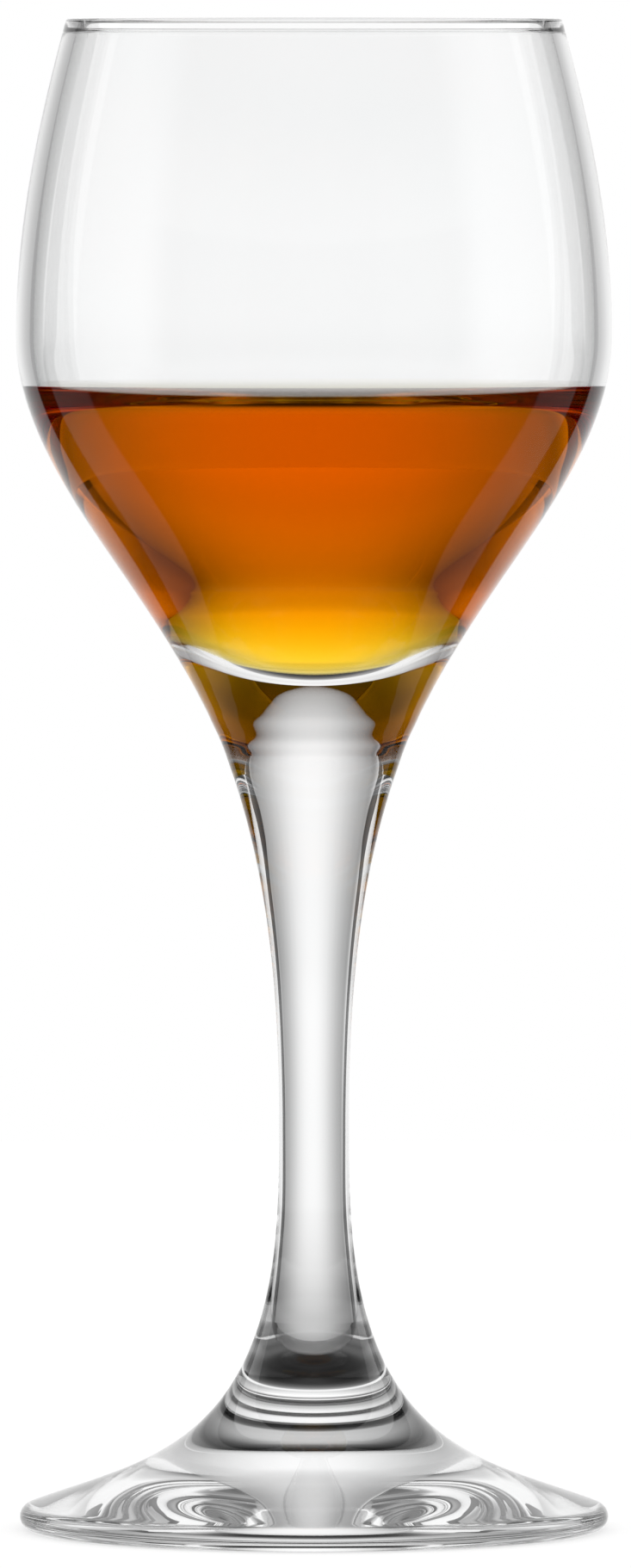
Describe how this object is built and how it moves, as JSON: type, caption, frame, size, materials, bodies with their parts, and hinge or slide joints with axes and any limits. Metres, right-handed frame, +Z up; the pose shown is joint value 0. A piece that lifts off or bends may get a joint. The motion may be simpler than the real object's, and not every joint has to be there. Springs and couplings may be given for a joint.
{
  "type": "sherry glass",
  "caption": "Small stemmed glass for sherry: tulip bowl with a rounded lip, waisted solid stem and round foot, part filled with amber sherry.",
  "frame": {"origin": "on the table, under the centre of the foot", "axes": "+Z up along the glass's turning axis, X and Y level and alike because the glass is round"},
  "size_m": [0.0552, 0.0552, 0.14],
  "materials": {
    "clear_glass": "fire-polished, clear and colourless",
    "sherry": "clear amber liquid"
  },
  "bodies": {
    "root": {"foot": "clear_glass", "stem": "clear_glass", "bowl": "clear_glass", "sherry": "sherry"}
  },
  "joints": []
}
